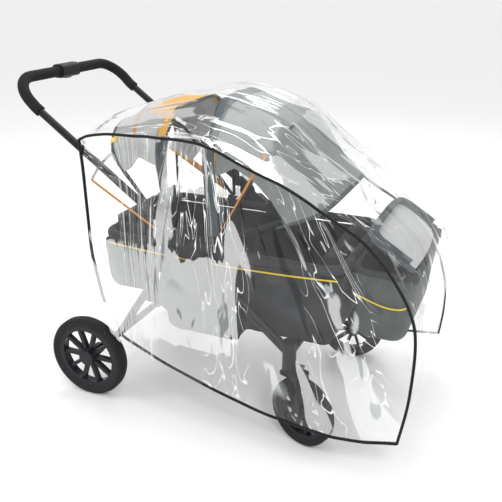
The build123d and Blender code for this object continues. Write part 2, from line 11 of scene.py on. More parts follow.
import bmesh
import bpy
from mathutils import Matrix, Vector, noise
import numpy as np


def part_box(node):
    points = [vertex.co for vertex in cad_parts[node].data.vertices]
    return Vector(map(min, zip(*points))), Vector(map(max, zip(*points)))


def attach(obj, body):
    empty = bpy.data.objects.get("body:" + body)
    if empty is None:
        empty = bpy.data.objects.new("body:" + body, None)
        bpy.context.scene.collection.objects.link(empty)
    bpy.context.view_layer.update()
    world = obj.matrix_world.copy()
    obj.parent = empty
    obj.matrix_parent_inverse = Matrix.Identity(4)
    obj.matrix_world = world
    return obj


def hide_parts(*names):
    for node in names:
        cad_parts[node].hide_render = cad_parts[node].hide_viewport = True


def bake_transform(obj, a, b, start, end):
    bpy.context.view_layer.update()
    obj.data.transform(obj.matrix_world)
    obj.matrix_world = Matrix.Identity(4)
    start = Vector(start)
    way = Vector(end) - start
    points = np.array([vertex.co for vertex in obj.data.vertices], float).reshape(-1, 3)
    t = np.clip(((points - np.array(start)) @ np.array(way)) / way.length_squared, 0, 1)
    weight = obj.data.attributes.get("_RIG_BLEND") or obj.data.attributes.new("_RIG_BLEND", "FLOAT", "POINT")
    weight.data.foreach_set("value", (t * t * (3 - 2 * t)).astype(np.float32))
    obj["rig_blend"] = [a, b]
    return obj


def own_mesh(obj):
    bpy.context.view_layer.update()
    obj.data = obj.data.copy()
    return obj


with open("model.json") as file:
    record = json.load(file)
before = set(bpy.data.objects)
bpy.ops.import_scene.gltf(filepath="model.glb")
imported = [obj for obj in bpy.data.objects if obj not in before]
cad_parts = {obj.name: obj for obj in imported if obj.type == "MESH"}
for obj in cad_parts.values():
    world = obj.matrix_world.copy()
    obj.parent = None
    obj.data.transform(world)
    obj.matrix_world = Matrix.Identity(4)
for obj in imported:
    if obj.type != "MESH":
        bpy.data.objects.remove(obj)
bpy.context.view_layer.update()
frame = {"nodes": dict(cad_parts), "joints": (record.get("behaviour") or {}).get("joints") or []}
nodes = frame["nodes"]
print("loaded", len(nodes), "nodes")

# %% [markdown]
# Places come from the CAD nodes' boxes, so each sewn piece follows its tube or its wall. A joint's
# own record gives the pivots that the bows turn about.

# %% Places taken from the frame
joints = {joint["name"]: joint for joint in frame["joints"]}
tub_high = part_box("tub_fabric")[1]
basket_low, basket_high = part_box("basket_fabric")
hood_pivot = Vector(joints["hood_visor_fold"]["pos_m"])
rear_pivot = Vector(joints["rear_hood_fold"]["pos_m"])
basket_pivot = Vector(joints["basket_hood_fold"]["pos_m"])
print("pivots", [tuple(round(c, 3) for c in pivot) for pivot in (hood_pivot, rear_pivot, basket_pivot)])

# %% [markdown]
# Two small helpers do most of the sewing. `sheet_of` starts from a flat grid, as cloth starts flat,
# and moves its points to where the cloth hangs. It also writes a UV map in metres, so a weave keeps
# its real scale. `edging` runs a round cord along a path, for piping, seams and binding.

# %% Helpers for meshes
def finish_mesh(name, mesh_source, material, body, smooth=True):
    """Makes an object of a bmesh, gives it a material and lets it ride on a body."""
    mesh = bpy.data.meshes.new(name)
    mesh_source.to_mesh(mesh)
    mesh_source.free()
    piece = bpy.data.objects.new(name, mesh)
    bpy.context.scene.collection.objects.link(piece)
    mesh.materials.append(material)
    for face in mesh.polygons:
        face.use_smooth = smooth
    if body:
        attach(piece, body)
    return piece


def add_modifier(piece, kind, **values):
    """Adds a modifier and sets its values."""
    modifier = piece.modifiers.new(kind.lower(), kind)
    for key, value in values.items():
        setattr(modifier, key, value)
    return modifier


def sheet_of(name, across, along, place, size, material, body, thick=0.0012, turn=False):
    """A sheet of cloth: a flat grid whose points go where place(u, v) says."""
    bm = bmesh.new()
    bmesh.ops.create_grid(bm, x_segments=across, y_segments=along, size=0.5)
    uv_map = bm.loops.layers.uv.new("UVMap")
    for face in bm.faces:
        for loop in face.loops:
            flat = loop.vert.co
            loop[uv_map].uv = ((flat.x + 0.5) * size[0], (flat.y + 0.5) * size[1])
    for vert in bm.verts:
        vert.co = place(vert.co.x + 0.5, vert.co.y + 0.5)
    if turn:
        bmesh.ops.reverse_faces(bm, faces=bm.faces)
    piece = finish_mesh(name, bm, material, body)
    if thick:
        add_modifier(piece, "SOLIDIFY", thickness=thick, offset=0.0)
    return piece


def edging(name, points, radius, material, body, closed=False, sides=3):
    """A round cord along a smooth path, as a mesh."""
    curve = bpy.data.curves.new(name, "CURVE")
    curve.dimensions = "3D"
    curve.bevel_depth = radius
    curve.bevel_resolution = sides
    curve.use_fill_caps = True
    spline = curve.splines.new("BEZIER")
    spline.bezier_points.add(len(points) - 1)
    for target, point in zip(spline.bezier_points, points):
        target.co = point
        target.handle_left_type = target.handle_right_type = "AUTO"
    spline.use_cyclic_u = closed
    spline.resolution_u = 8
    holder = bpy.data.objects.new(name + "_path", curve)
    bpy.context.scene.collection.objects.link(holder)
    depsgraph = bpy.context.evaluated_depsgraph_get()
    mesh = bpy.data.meshes.new_from_object(holder.evaluated_get(depsgraph))
    bpy.data.objects.remove(holder)
    bm = bmesh.new()
    bm.from_mesh(mesh)
    return finish_mesh(name, bm, material, body)


def wrinkle(point, scale, seed):
    """Smooth noise from -1 to 1 that is the same in every run."""
    return noise.noise(Vector(point) * scale + Vector((seed, seed * 0.7, -seed)))


def curve_at(points, t):
    """The point at share t along a run of 3-D points, eased round its corners."""
    spot = min(max(t, 0.0), 1.0) * (len(points) - 1)
    index = min(int(spot), len(points) - 2)
    before = points[max(index - 1, 0)]
    a, b = points[index], points[index + 1]
    after = points[min(index + 2, len(points) - 1)]
    f = spot - index
    bend_a = (b - before) * 0.5
    bend_b = (after - a) * 0.5
    return (a * (2 * f**3 - 3 * f**2 + 1) + b * (3 * f**2 - 2 * f**3)
            + bend_a * (f**3 - 2 * f**2 + f) + bend_b * (f**3 - f**2))


# %% [markdown]
# ## Finishes
# Each effect that more than one finish uses is a node group with named sockets: a woven cloth, and a
# moulded surface with fine grain and rubbed patches. The shader itself stays in each material.

# %% Node helpers
def group_of(name, inputs, outputs):
    """An empty shader node group with named value inputs and outputs."""
    group = bpy.data.node_groups.new(name, "ShaderNodeTree")
    for label, kind, default in inputs:
        made = group.interface.new_socket(label, in_out="INPUT", socket_type=kind)
        if default is not None:
            made.default_value = default
    for label, kind in outputs:
        group.interface.new_socket(label, in_out="OUTPUT", socket_type=kind)
    return group, group.nodes.new("NodeGroupInput"), group.nodes.new("NodeGroupOutput")


def math_node(tree, operation, a, b=None):
    """A Math node whose inputs are numbers or sockets."""
    node = tree.nodes.new("ShaderNodeMath")
    node.operation = operation
    for socket, value in zip(node.inputs, (a, b)):
        if isinstance(value, (int, float)):
            socket.default_value = value
        elif value is not None:
            tree.links.new(value, socket)
    return node.outputs[0]


def mix_colour(tree, factor, a, b):
    """A colour mix whose inputs are sockets or plain colours."""
    node = tree.nodes.new("ShaderNodeMix")
    node.data_type = "RGBA"
    for socket, value in ((node.inputs[0], factor), (node.inputs[6], a), (node.inputs[7], b)):
        if hasattr(value, "is_linked"):
            tree.links.new(value, socket)
        else:
            socket.default_value = value
    return node.outputs[2]


# %% The woven cloth group
weave, weave_in, weave_out = group_of(
    "woven cloth",
    [("Vector", "NodeSocketVector", None), ("Threads per metre", "NodeSocketFloat", 900.0),
     ("Colour", "NodeSocketColor", (0.1, 0.1, 0.1, 1)), ("Fade", "NodeSocketFloat", 0.25)],
    [("Colour", "NodeSocketColor"), ("Height", "NodeSocketFloat"), ("Roughness", "NodeSocketFloat")])
heights = []
for axis in ("X", "Y"):
    wave = weave.nodes.new("ShaderNodeTexWave")
    wave.wave_type, wave.bands_direction, wave.wave_profile = "BANDS", axis, "SIN"
    wave.inputs["Distortion"].default_value = 0.4
    weave.links.new(weave_in.outputs["Vector"], wave.inputs["Vector"])
    scale = math_node(weave, "MULTIPLY", weave_in.outputs["Threads per metre"], 0.16)
    weave.links.new(scale, wave.inputs["Scale"])
    heights.append(wave.outputs["Fac"])
cross = math_node(weave, "MULTIPLY", heights[0], heights[1])
soil = weave.nodes.new("ShaderNodeTexNoise")
soil.inputs["Scale"].default_value = 14.0
soil.inputs["Detail"].default_value = 6.0
weave.links.new(weave_in.outputs["Vector"], soil.inputs["Vector"])
soil_mask = math_node(weave, "POWER", soil.outputs["Fac"], 2.0)
shade = math_node(weave, "MULTIPLY", soil_mask, weave_in.outputs["Fade"])
lighter = mix_colour(weave, shade, weave_in.outputs["Colour"], (0.55, 0.56, 0.58, 1))
thread = math_node(weave, "MULTIPLY", cross, 0.18)
woven = mix_colour(weave, thread, lighter, (0.0, 0.0, 0.0, 1))
weave.links.new(woven, weave_out.inputs["Colour"])
weave.links.new(cross, weave_out.inputs["Height"])
weave.links.new(math_node(weave, "ADD", math_node(weave, "MULTIPLY", soil.outputs["Fac"], 0.2), 0.65),
                weave_out.inputs["Roughness"])

# %% The moulded surface group
mould, mould_in, mould_out = group_of(
    "moulded surface",
    [("Vector", "NodeSocketVector", None), ("Grain", "NodeSocketFloat", 900.0),
     ("Colour", "NodeSocketColor", (0.05, 0.05, 0.05, 1)), ("Gloss", "NodeSocketFloat", 0.4),
     ("Rub", "NodeSocketFloat", 0.15)],
    [("Colour", "NodeSocketColor"), ("Height", "NodeSocketFloat"), ("Roughness", "NodeSocketFloat")])
grain = mould.nodes.new("ShaderNodeTexNoise")
grain.inputs["Detail"].default_value = 3.0
mould.links.new(mould_in.outputs["Vector"], grain.inputs["Vector"])
mould.links.new(mould_in.outputs["Grain"], grain.inputs["Scale"])
rub = mould.nodes.new("ShaderNodeTexNoise")
rub.inputs["Scale"].default_value = 22.0
rub.inputs["Detail"].default_value = 8.0
mould.links.new(mould_in.outputs["Vector"], rub.inputs["Vector"])
rub_mask = math_node(mould, "POWER", rub.outputs["Fac"], 3.0)
rubbed = math_node(mould, "MULTIPLY", rub_mask, mould_in.outputs["Rub"])
mould.links.new(mix_colour(mould, rubbed, mould_in.outputs["Colour"], (0.35, 0.35, 0.37, 1)),
                mould_out.inputs["Colour"])
mould.links.new(grain.outputs["Fac"], mould_out.inputs["Height"])
rough = math_node(mould, "ADD", mould_in.outputs["Gloss"],
                  math_node(mould, "MULTIPLY", math_node(mould, "SUBTRACT", rub.outputs["Fac"], 0.5),
                            0.35))
mould.links.new(rough, mould_out.inputs["Roughness"])


# %% Materials made from the groups
def finish_of(name, group, values, bump, distance, coordinates="Object", place=None, **shader):
    """A Principled material that takes colour, roughness and bump from a group. A place is a centre
    and a turn about Z, for a pattern that belongs to one wheel."""
    material = bpy.data.materials.new(name)
    material.use_nodes = True
    tree = material.node_tree
    bsdf = tree.nodes["Principled BSDF"]
    source = tree.nodes.new("ShaderNodeTexCoord")
    effect = tree.nodes.new("ShaderNodeGroup")
    effect.node_tree = group
    vector = source.outputs[coordinates]
    if place:
        centred = tree.nodes.new("ShaderNodeMapping")
        centred.vector_type = "TEXTURE"
        centred.inputs["Location"].default_value = place[0]
        centred.inputs["Rotation"].default_value = (0.0, 0.0, place[1])
        tree.links.new(vector, centred.inputs["Vector"])
        vector = centred.outputs["Vector"]
    tree.links.new(vector, effect.inputs["Vector"])
    for key, value in values.items():
        effect.inputs[key].default_value = value
    relief = tree.nodes.new("ShaderNodeBump")
    relief.inputs["Strength"].default_value = bump
    relief.inputs["Distance"].default_value = distance
    tree.links.new(effect.outputs["Height"], relief.inputs["Height"])
    tree.links.new(effect.outputs["Colour"], bsdf.inputs["Base Color"])
    if "Roughness" in effect.outputs:
        tree.links.new(effect.outputs["Roughness"], bsdf.inputs["Roughness"])
    tree.links.new(relief.outputs["Normal"], bsdf.inputs["Normal"])
    for key, value in shader.items():
        bsdf.inputs[key.replace("_", " ")].default_value = value
    return material


def cloth(name, colour, threads=900.0, fade=0.12, bump=0.15, coordinates="UV"):
    """Woven cloth with a soft sheen."""
    made = finish_of(name, weave, {"Colour": (*colour, 1), "Threads per metre": threads,
                                   "Fade": fade}, bump, 0.0006, coordinates)
    shader = made.node_tree.nodes["Principled BSDF"]
    shader.inputs["Sheen Weight"].default_value = 0.06
    shader.inputs["Specular IOR Level"].default_value = 0.2
    return made


def moulded(name, colour, gloss, grain_scale=900.0, rub_share=0.12, bump=0.25, metal=0.0):
    """Moulded plastic, rubber or coated metal."""
    made = finish_of(name, mould, {"Colour": (*colour, 1), "Gloss": gloss, "Grain": grain_scale,
                                   "Rub": rub_share}, bump, 0.0004)
    shader = made.node_tree.nodes["Principled BSDF"]
    shader.inputs["Metallic"].default_value = metal
    shader.inputs["Specular IOR Level"].default_value = 0.5 if metal else 0.22
    return made


frame_coat = moulded("black powder coat", (0.008, 0.008, 0.010), 0.36, 1400.0, 0.05, 0.15)
black_plastic = moulded("black textured plastic", (0.009, 0.009, 0.010), 0.5, 1100.0, 0.06)
wheel_plastic = moulded("wheel plastic", (0.012, 0.013, 0.016), 0.38, 800.0, 0.07)
grip_foam = moulded("grip foam", (0.007, 0.007, 0.008), 0.8, 1600.0, 0.08, 0.6)
button_grey = moulded("button grey", (0.14, 0.15, 0.17), 0.42, 1200.0, 0.1)
axle_steel = moulded("axle steel", (0.42, 0.43, 0.45), 0.3, 700.0, 0.2, 0.1, 1.0)
board_plastic = moulded("board plastic", (0.03, 0.03, 0.032), 0.6)
black_cloth = cloth("black canvas", (0.006, 0.007, 0.009), bump=0.02)
pad_cloth = cloth("black padding cloth", (0.009, 0.011, 0.014), 700.0, 0.10, 0.3, "Object")
grey_cloth = cloth("grey hood cloth", (0.17, 0.19, 0.18), 1100.0, 0.25, 0.04)
light_cloth = cloth("light grey hood cloth", (0.42, 0.43, 0.42), 1100.0, 0.3, 0.04)
gold_cloth = cloth("gold hood lining", (0.66, 0.34, 0.02), 1100.0, 0.05, 0.05)
orange_tape = cloth("orange trim tape", (0.60, 0.24, 0.015), 1500.0, 0.05, 0.5)
yellow_cord = cloth("yellow piping cord", (0.85, 0.60, 0.01), 1500.0, 0.05, 0.5, "Object")
binding_tape = cloth("black binding tape", (0.006, 0.006, 0.007), 1500.0, 0.04, 0.5, "Object")
web_strap = cloth("webbing", (0.02, 0.02, 0.022), 500.0, 0.1, 0.9, "Object")
print("finishes", len(bpy.data.materials))

# %% [markdown]
# ## The tub
# Two side panels and one long liner are sewn along their edges, as the real tub is. The liner runs
# down the rear wall, along both seats and the footwell, and up the front wall.

# %% Tub outline
MM = 0.001
SIDES = ((-1, "right"), (1, "left"))
TUB_HALF = tub_high.y
TUB_TOP = tub_high.z
tub_run = [(44, 562), (62, 400), (272, 400), (280, 280), (540, 280), (548, 332), (854, 332), (876, 562)]


def rounded(points, radius, count):
    """Evenly spaced points along a run of 2-D points with rounded corners."""
    points = [Vector(point) for point in points]
    dense = [points[0]]
    for before, here, after in zip(points, points[1:], points[2:]):
        back, ahead = before - here, after - here
        cut = min(radius, back.length * 0.48, ahead.length * 0.48)
        start, end = here + back.normalized() * cut, here + ahead.normalized() * cut
        dense += [start * (1 - t) ** 2 + here * 2 * t * (1 - t) + end * t * t
                  for t in (step / 8 for step in range(9))]
    dense.append(points[-1])
    reach = [0.0]
    for a, b in zip(dense, dense[1:]):
        reach.append(reach[-1] + (b - a).length)
    spread, place = [], 0
    for step in range(count + 1):
        target = reach[-1] * step / count
        while place < len(dense) - 2 and reach[place + 1] < target:
            place += 1
        share = (target - reach[place]) / max(reach[place + 1] - reach[place], 1e-9)
        spread.append(dense[place].lerp(dense[place + 1], share))
    return spread


outline = rounded([(x * MM, z * MM) for x, z in tub_run], 0.035, 240)
flat_length = sum((b - a).length for a, b in zip(outline, outline[1:]))


def along(run, t):
    """The point at share t of an evenly spaced run."""
    spot = min(max(t, 0.0), 1.0) * (len(run) - 1)
    index = min(int(spot), len(run) - 2)
    return run[index].lerp(run[index + 1], spot - index)


def liner_place(u, v):
    """Where the liner's point lies: along the outline, from side to side, a little slack."""
    spot = along(outline, u)
    y = (2 * v - 1) * (TUB_HALF - 0.002)
    slack = 0.004 * wrinkle((spot.x, y * 2, spot.y), 9.0, 3.1)
    ribs = 0.0025 * abs(sin(pi * (y + 0.25) / 0.034)) if u < 0.12 or u > 0.86 else 0.0
    return Vector((spot.x + (ribs if u < 0.12 else -ribs), y, spot.y + abs(slack) + 0.002))


liner = sheet_of("tub_liner", 240, 60, liner_place, (flat_length, 2 * TUB_HALF), black_cloth, "chassis",
                 thick=0.002)


# %% Tub sides
def side_place(side):
    """Places a tub side: down from the rim to the outline, with ribs that fade out."""
    def place(u, v):
        spot = along(outline, 0.02 + 0.96 * u)
        top = 0.046 + 0.828 * u
        x = top + (spot.x - top) * (1 - v)
        z = TUB_TOP + (spot.y - TUB_TOP) * (1 - v)
        edge = sin(pi * min(v, 0.98)) * sin(pi * u) ** 0.3
        billow = 0.0035 * edge * wrinkle((x, 0.3 * z, side), 7.0, 8.0)
        pucker = 0.0016 * wrinkle((x * 5, z * 0.8, side), 12.0, 4.0) * (1 - v) ** 2
        return Vector((x, side * (TUB_HALF - 0.0022 + billow + pucker), z))
    return place


for side, name in SIDES:
    piece = sheet_of("tub_side_" + name, 200, 40, side_place(side), (0.83, 0.28), black_cloth, "chassis",
                     thick=0.002, turn=side > 0)
    seam = [Vector((p.x, side * (TUB_HALF - 0.001), p.y)) for p in outline[2:-2:6]]
    edging("tub_seam_" + name, seam, 0.0022, binding_tape, "chassis")
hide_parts("tub_fabric")

# %% [markdown]
# Padding is foam inside cloth. It could be a cloth simulation, but the pads are small and pressed
# tight, so a remeshed copy of the CAD solid is enough: an even skin, smoothed, whose points then
# move along their normals into gathers, ribs and drawn-in seams.

# %% Rim padding
PAD_VOXEL = 0.005


def soft_copy(node, name, material, move, rounds):
    """A remeshed copy of a CAD node, whose points move along their normals by move(point, normal)."""
    source = nodes[node]
    piece = bpy.data.objects.new(name, source.data.copy())
    bpy.context.scene.collection.objects.link(piece)
    piece.data.materials.clear()
    piece.data.materials.append(material)
    add_modifier(piece, "REMESH", mode="VOXEL", voxel_size=PAD_VOXEL, use_smooth_shade=True)
    add_modifier(piece, "SMOOTH", factor=0.5, iterations=rounds)
    bpy.context.view_layer.update()
    mesh = bpy.data.meshes.new_from_object(
        piece.evaluated_get(bpy.context.evaluated_depsgraph_get()))
    piece.modifiers.clear()
    piece.data = mesh
    normals = [vert.normal.copy() for vert in mesh.vertices]
    for vert, normal in zip(mesh.vertices, normals):
        vert.co = vert.co + move(vert.co.copy(), normal)
    for face in mesh.polygons:
        face.use_smooth = True
    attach(piece, "chassis")
    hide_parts(node)
    return piece


def pad_pucker(point, normal):
    """Long soft gathers round the padded rim, drawn in at the seam under it."""
    gather = 0.0018 * wrinkle((point.x * 3, point.y * 3, point.z), 14.0, 2.0)
    seam = -0.003 * max(0.0, -normal.z) ** 6
    return normal * (gather + seam - 0.0015)


rim_pad = soft_copy("rim_padding", "rim_pad", pad_cloth, pad_pucker, 4)

# %% [markdown]
# The yellow piping is a thin cord sewn into the side's seam. It is a round cord along a path that
# sweeps down towards the middle of the tub, 2 mm proud of the cloth.

# %% Piping along the tub
PIPING_REAR, PIPING_FRONT, PIPING_TOP, PIPING_DROP = 0.060, 0.862, 0.553, 0.014


def tub_piping(side, name):
    """A run of piping on the tub side, lowest in its middle."""
    points = []
    for step in range(13):
        t = step / 12
        points.append(Vector((PIPING_REAR + (PIPING_FRONT - PIPING_REAR) * t,
                              side * (TUB_HALF + 0.0028),
                              PIPING_TOP - PIPING_DROP * (1 - (2 * t - 1) ** 2))))
    return edging(name, points, 0.0026, yellow_cord, "chassis")


pipings = [tub_piping(side, "yellow_piping_" + name) for side, name in SIDES]
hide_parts("tub_piping")
print("piping", len(pipings), "runs")

# %% [markdown]
# A seat pad is crowned in its middle and drawn in at its sides, with two channels sewn across it.
# A backrest has upright ribs on the face that the child leans on.

# %% Seat pads and backrests
def cushion_move(low, high):
    """A crowned pad: fuller in its middle, drawn in along its sides."""
    middle, half = (low + high) / 2, (high - low) / 2

    def move(point, normal):
        x, y = (point.x - middle.x) / half.x, (point.y - middle.y) / half.y
        crown = (1 - x * x) * (1 - y * y)
        up = max(0.0, normal.z)
        draw = -0.006 * (1 - abs(normal.z)) * (1 - (x * y) ** 4)
        channel = -0.003 * up * max(0.0, 1 - abs(abs(y) - 0.42) / 0.03)
        puff = 0.008 * up * crown + 0.0012 * wrinkle(point, 22.0, 5.0)
        return normal * draw + Vector((0, 0, puff + channel - 0.002 * up))
    return move


for node in ("rear_seat_cushion", "front_seat_cushion"):
    piece = soft_copy(node, node.replace("cushion", "pad"), pad_cloth, cushion_move(*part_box(node)), 6)


def ribbed(facing):
    """Upright sewn ribs on the face that looks forward or back."""
    def move(point, normal):
        rib = abs(sin(pi * (point.y + 0.2) / 0.036)) ** 0.6
        face = max(0.0, normal.x * facing)
        return normal * (0.003 * rib * face - 0.0018 + 0.0008 * wrinkle(point, 20.0, 6.0))
    return move


for node, facing in (("rear_backrest", 1), ("front_backrest", -1)):
    piece = soft_copy(node, node + "_pad", pad_cloth, ribbed(facing), 3)


# %% [markdown]
# Each harness is two flat webs that come down the backrest and meet at a moulded buckle on the seat.
# A web is a thin sheet swept along a short run of points. A buckle is a cube with bevelled edges.

# %% Harness webbing
STRAP_WIDE = 0.034


def web(name, points):
    """A flat strap along a run of 3-D points, with its width across Y."""
    def place(u, v):
        return curve_at(points, u) + Vector((0, (v - 0.5) * STRAP_WIDE, 0))
    return sheet_of(name, 40, 6, place, (0.2, STRAP_WIDE), web_strap, "chassis", thick=0.0018)


for seat, base, top, buckle_x, face in (("rear", 0.440, 0.622, 0.172, 0.1002),
                                        ("front", 0.372, 0.592, 0.722, 0.7905)):
    for side in (-1, 1):
        lean = 0.012 if seat == "front" else 0.0
        y = side * 0.07
        out = -1 if seat == "front" else 1
        run = [Vector((face + lean + out * 0.003, y, top)),
               Vector((face + lean * 0.5 + out * 0.004, y, (top + base) / 2)),
               Vector((face + out * 0.004, y, base + 0.015)),
               Vector((face + out * 0.03, y * 0.85, base + 0.006)),
               Vector((buckle_x, y * 0.35, base + 0.006))]
        web(f"{seat}_strap_{'left' if side > 0 else 'right'}", run)
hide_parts("harnesses")


def soft_box(name, low, high, radius, material):
    """A moulded block with rounded edges."""
    bm = bmesh.new()
    bmesh.ops.create_cube(bm, size=1.0)
    size, middle = Vector(high) - Vector(low), (Vector(high) + Vector(low)) / 2
    for vert in bm.verts:
        vert.co = Vector((vert.co.x * size.x, vert.co.y * size.y, vert.co.z * size.z)) + middle
    bmesh.ops.bevel(bm, geom=bm.edges[:], offset=radius, affect="EDGES", segments=4,
                    profile=0.5, material=-1)
    return finish_mesh(name, bm, material, "chassis")


for seat, x, z in (("rear", 0.172, 0.437), ("front", 0.722, 0.369)):
    soft_box(seat + "_buckle", (x - 0.022, -0.021, z + 0.004), (x + 0.022, 0.021, z + 0.016), 0.005,
             black_plastic)
    soft_box(seat + "_buckle_button", (x - 0.01, -0.009, z + 0.015), (x + 0.01, 0.009, z + 0.019),
             0.0018, button_grey)

# %% [markdown]
# ## Hoods
# Each hood is one sheet sewn over its bows. Rows of the grid lie over the bows, and between them the
# cloth runs straight, with a little slack. Its edge is cut back between the bows, so a child can see
# out at the side. The share is set from the angle at the pivot, so each row stays on its bow.

# %% Cloth over bows
HOOD_HALF = 0.2588
ROOF_SAG = 0.004
BOW_ANGLES = {"rear": 93.5, "middle": 61, "visor": 22, "back": 127, "top": 109, "post": 91}


def bow_rows(pivot, tips, count=160):
    """The cloth's line over each bow: a tip is (angle, leg, crown) in degrees and metres."""
    rows = []
    for angle, leg, crown in tips:
        run = rounded([(0.03, -HOOD_HALF), (leg, -HOOD_HALF), (crown, -0.55 * HOOD_HALF),
                       (crown, 0.55 * HOOD_HALF), (leg, HOOD_HALF), (0.03, HOOD_HALF)], 0.07, count)
        turn = radians(angle)
        rows.append([Vector((pivot.x + p.x * cos(turn), p.y, pivot.z + p.x * sin(turn)))
                     for p in run])
    return rows


def hood_point(rows, pivot, u, v, sag, lift=0.0):
    """A point of the cloth at share u from the first bow to the last and v across."""
    spot = min(max(u, 0.0), 1.0) * (len(rows) - 1)
    index = min(int(spot), len(rows) - 2)
    t = spot - index
    point = along(rows[index], v).lerp(along(rows[index + 1], v), t)
    inward = Vector((pivot.x - point.x, -point.y * 0.3, pivot.z - point.z)).normalized()
    return point + inward * (sag * (4 * t * (1 - t)) ** 3 - lift)


def table_at(pairs, t):
    """A value from a short table, straight between its entries."""
    for (t0, a), (t1, b) in zip(pairs, pairs[1:]):
        if t <= t1:
            return a + (b - a) * (t - t0) / (t1 - t0)
    return pairs[-1][1]


main_rows = bow_rows(hood_pivot, [(BOW_ANGLES["rear"], 0.3065, 0.4325),
                                  (BOW_ANGLES["middle"], 0.3365, 0.4205),
                                  (BOW_ANGLES["visor"], 0.3665, 0.3785)])
rear_rows = bow_rows(rear_pivot, [(BOW_ANGLES["back"], 0.3265, 0.4085),
                                  (BOW_ANGLES["top"], 0.3245, 0.4135),
                                  (BOW_ANGLES["post"], 0.3025, 0.4005)])
main_edge = [(0.0, 0.0), (0.05, 0.0), (0.1, 0.17), (0.3, 0.215), (0.5, 0.2), (0.75, 0.215), (1.0, 0.2)]
rear_edge = [(0.0, 0.19), (0.5, 0.21), (0.84, 0.19), (0.87, 0.0), (1.0, 0.0)]


def main_place(u, v):
    """The main hood: a taut roof to the middle bow, then a pleated drop to the visor bow."""
    cut = table_at(main_edge, u)
    v = cut + (1 - 2 * cut) * v
    drop = max(0.0, min(1.0, (u - 0.5) * 2))
    pleat = 0.0022 * sin(v * 2 * pi * 17 + 1.3 * sin(v * 31)) * sin(pi * drop) ** 3 if drop else 0.0
    soft = 0.0016 * wrinkle((u * 2, v * 9, 1), 3.0, 9.0) * sin(pi * ((u * 2) % 1.0)) ** 3
    return hood_point(main_rows, hood_pivot, u, v, ROOF_SAG + 0.005 * drop, pleat + soft)


def rear_place(u, v):
    """The rear hood."""
    cut = table_at(rear_edge, u)
    v = cut + (1 - 2 * cut) * v
    soft = 0.0024 * wrinkle((u * 2, v * 8, 4), 3.0, 2.5) * sin(pi * ((u * 2) % 1.0))
    return hood_point(rear_rows, rear_pivot, u, v, ROOF_SAG, soft)


def paint_faces(piece, materials, pick):
    """Gives faces of a grid other materials: pick(u, v) is the slot."""
    for material in materials:
        piece.data.materials.append(material)
    sizes = piece.data.uv_layers["UVMap"]
    width, length = piece["flat"]
    for face in piece.data.polygons:
        middle = sum((Vector(sizes.uv[loop].vector) for loop in face.loop_indices),
                     Vector((0, 0))) / len(face.loop_indices)
        face.material_index = pick(middle.x / width, middle.y / length)


def hood_sheet(name, across, along_count, place, size, material, body_pair, ends):
    """A sheet that bends between two bodies. Its share of the turn follows the angle at the pivot,
    so each row of cloth stays on its own bow."""
    piece = sheet_of(name, across, along_count, place, size, material, None)
    piece["flat"] = size
    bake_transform(piece, *body_pair, start=ends[0], end=ends[1])
    pivot, shares = (hood_pivot, main_shares) if "visor" in body_pair[1] else (rear_pivot, rear_shares)
    share = piece.data.attributes["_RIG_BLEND"].data
    for vert in piece.data.vertices:
        angle = degrees(atan2(vert.co.z - pivot.z, vert.co.x - pivot.x))
        share[vert.index].value = table_at(shares, max(shares[0][0], min(shares[-1][0], angle)))
    return piece


main_shares = [(BOW_ANGLES["visor"], 1.0), (BOW_ANGLES["middle"], 0.48), (BOW_ANGLES["rear"], 0.0)]
rear_shares = [(BOW_ANGLES["post"], 0.0), (BOW_ANGLES["back"], 1.0)]

# %% The main hood
main_ends = (main_rows[0][80], main_rows[-1][80])
main_hood = hood_sheet("main_hood_cloth", 96, 150, main_place, (0.56, 1.12), grey_cloth,
                       ("chassis", "hood_visor"), main_ends)
rear_ends = (rear_rows[-1][80], rear_rows[0][80])
rear_hood = hood_sheet("rear_hood_cloth", 64, 150, rear_place, (0.26, 1.08), light_cloth,
                       ("chassis", "hood_back"), rear_ends)
paint_faces(main_hood, [grey_cloth, light_cloth, gold_cloth],
            lambda u, v: 1 if u > 0.5 else (2 if u < 0.06 else 0))
paint_faces(rear_hood, [gold_cloth], lambda u, v: 1 if u > 0.6 and abs(v - 0.5) < 0.24 else 0)
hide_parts("main_hood_fabric")
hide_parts("rear_hood_fabric")
print("hoods", len(main_hood.data.vertices), len(rear_hood.data.vertices))


def hood_tape(name, hood, between, across, material, lift, count):
    """A tape sewn on a hood, over a span between its bows and a span across them."""
    rows, pivot, pair, ends = hood
    wide = across[1] - across[0]

    def place(s, t):
        edge = 0.6 + 0.4 * sin(pi * s) ** 0.5
        return hood_point(rows, pivot, between[0] + (between[1] - between[0]) * s,
                          across[0] + wide * t, ROOF_SAG, lift * edge)
    return hood_sheet(name, 8, count, place, (0.04, 1.1 * wide), material, pair, ends)


